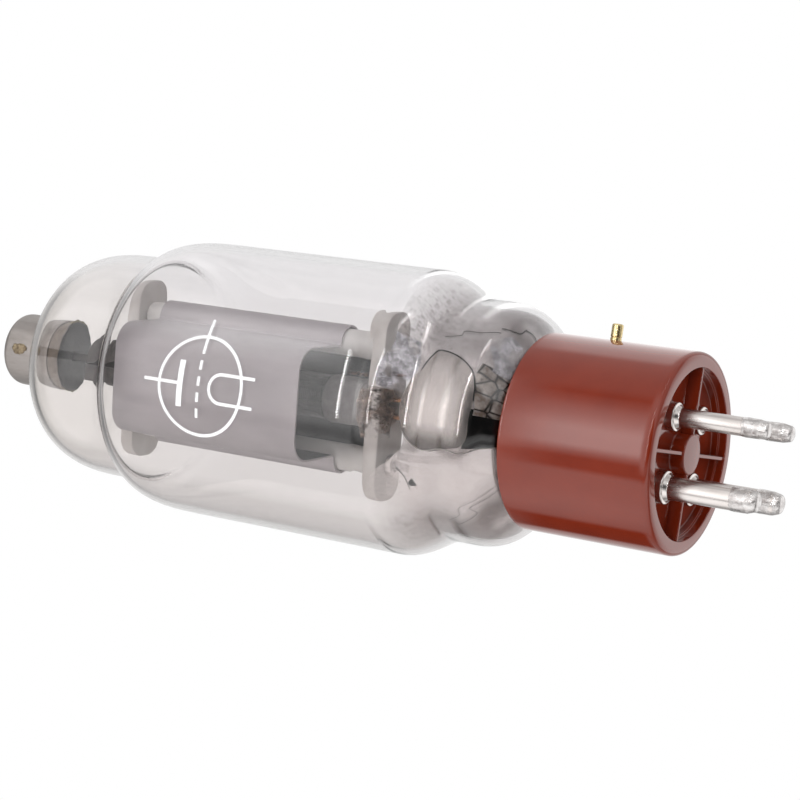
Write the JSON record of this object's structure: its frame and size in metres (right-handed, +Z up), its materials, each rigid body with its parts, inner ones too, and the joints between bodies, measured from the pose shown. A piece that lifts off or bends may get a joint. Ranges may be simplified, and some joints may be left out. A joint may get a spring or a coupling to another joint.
{
  "type": "vacuum tube",
  "caption": "Directly heated power triode: stepped glass bulb with a top cap for the anode, on a bayonet base with contact pins, and a box anode on ceramic bars inside",
  "frame": {"origin": "centre of the seating face of the base, the flat end of the boss between the pins, which is level with the rim of the base", "axes": "+Z runs up the axis of the tube from the base to the top cap, the pins point to -Z, +X points at the bayonet pin, +Y completes a right-handed frame"},
  "size_m": [0.052, 0.052, 0.1624],
  "materials": {
    "clear_glass": "clear blown glass, faintly grey",
    "bakelite": "glossy red-brown moulded resin",
    "nickel": "bright nickel plate",
    "cap_metal": "dull plated cap, scuffed",
    "brass": "bright turned brass",
    "solder": "rough dull solder",
    "dark_cement": "rough dark grey cement",
    "pale_cement": "rough pale cement",
    "anode_sheet": "satin grey coated sheet",
    "dark_metal": "dark heat-stained metal",
    "ceramic": "matt white ceramic",
    "warm_lead": "heat-coloured copper-clad lead",
    "molybdenum": "drawn wire and rod"
  },
  "bodies": {
    "tube": {"anode_back": "anode_sheet", "anode_front": "anode_sheet", "anode_lead": "dark_metal", "anode_strap_back": "dark_metal", "anode_strap_front": "dark_metal", "anode_terminal": "dark_metal", "base_cement": "pale_cement", "base_shell": "bakelite", "bayonet_pin": "brass", "cap_cement": "dark_cement", "cap_solder": "solder", "ceramic_post_1": "ceramic", "ceramic_post_2": "ceramic", "exhaust_tube": "clear_glass", "filament_hairpin_1": "molybdenum", "filament_hairpin_2": "molybdenum", "filament_lead_1": "warm_lead", "filament_lead_2": "warm_lead", "filament_pin_1": "nickel", "filament_pin_1_solder": "solder", "filament_pin_2": "nickel", "filament_pin_2_solder": "solder", "filament_wire_1": "nickel", "filament_wire_2": "nickel", "getter_ring": "nickel", "getter_strap": "nickel", "glass_envelope": "clear_glass", "glass_stem": "clear_glass", "grid_lead": "warm_lead", "grid_pin": "nickel", "grid_pin_solder": "solder", "grid_rod_1": "molybdenum", "grid_rod_2": "molybdenum", "grid_rod_3": "molybdenum", "grid_rod_4": "molybdenum", "grid_winding": "molybdenum", "grid_wire": "nickel", "lower_ceramic_bar": "ceramic", "lower_eyelet_1": "nickel", "lower_eyelet_2": "nickel", "lower_grid_collar": "nickel", "side_rod_1": "molybdenum", "side_rod_2": "molybdenum", "spare_pin": "nickel", "spare_pin_solder": "solder", "spring_anchor": "nickel", "support_wire_1": "molybdenum", "support_wire_2": "molybdenum", "tension_spring": "molybdenum", "top_cap": "cap_metal", "upper_ceramic_bar": "ceramic", "upper_eyelet_1": "nickel", "upper_eyelet_2": "nickel", "upper_grid_collar": "nickel"},
    "yoke": {"filament_yoke": "molybdenum"}
  },
  "joints": [
    {"name": "filament_tension", "type": "slide", "parent": "tube", "child": "yoke", "axis": [0, 0, 1], "range_m": [0, 0.0004], "stiffness_N_per_m": 500, "deforming": ["filament_hairpin_1", "filament_hairpin_2", "tension_spring"]}
  ]
}
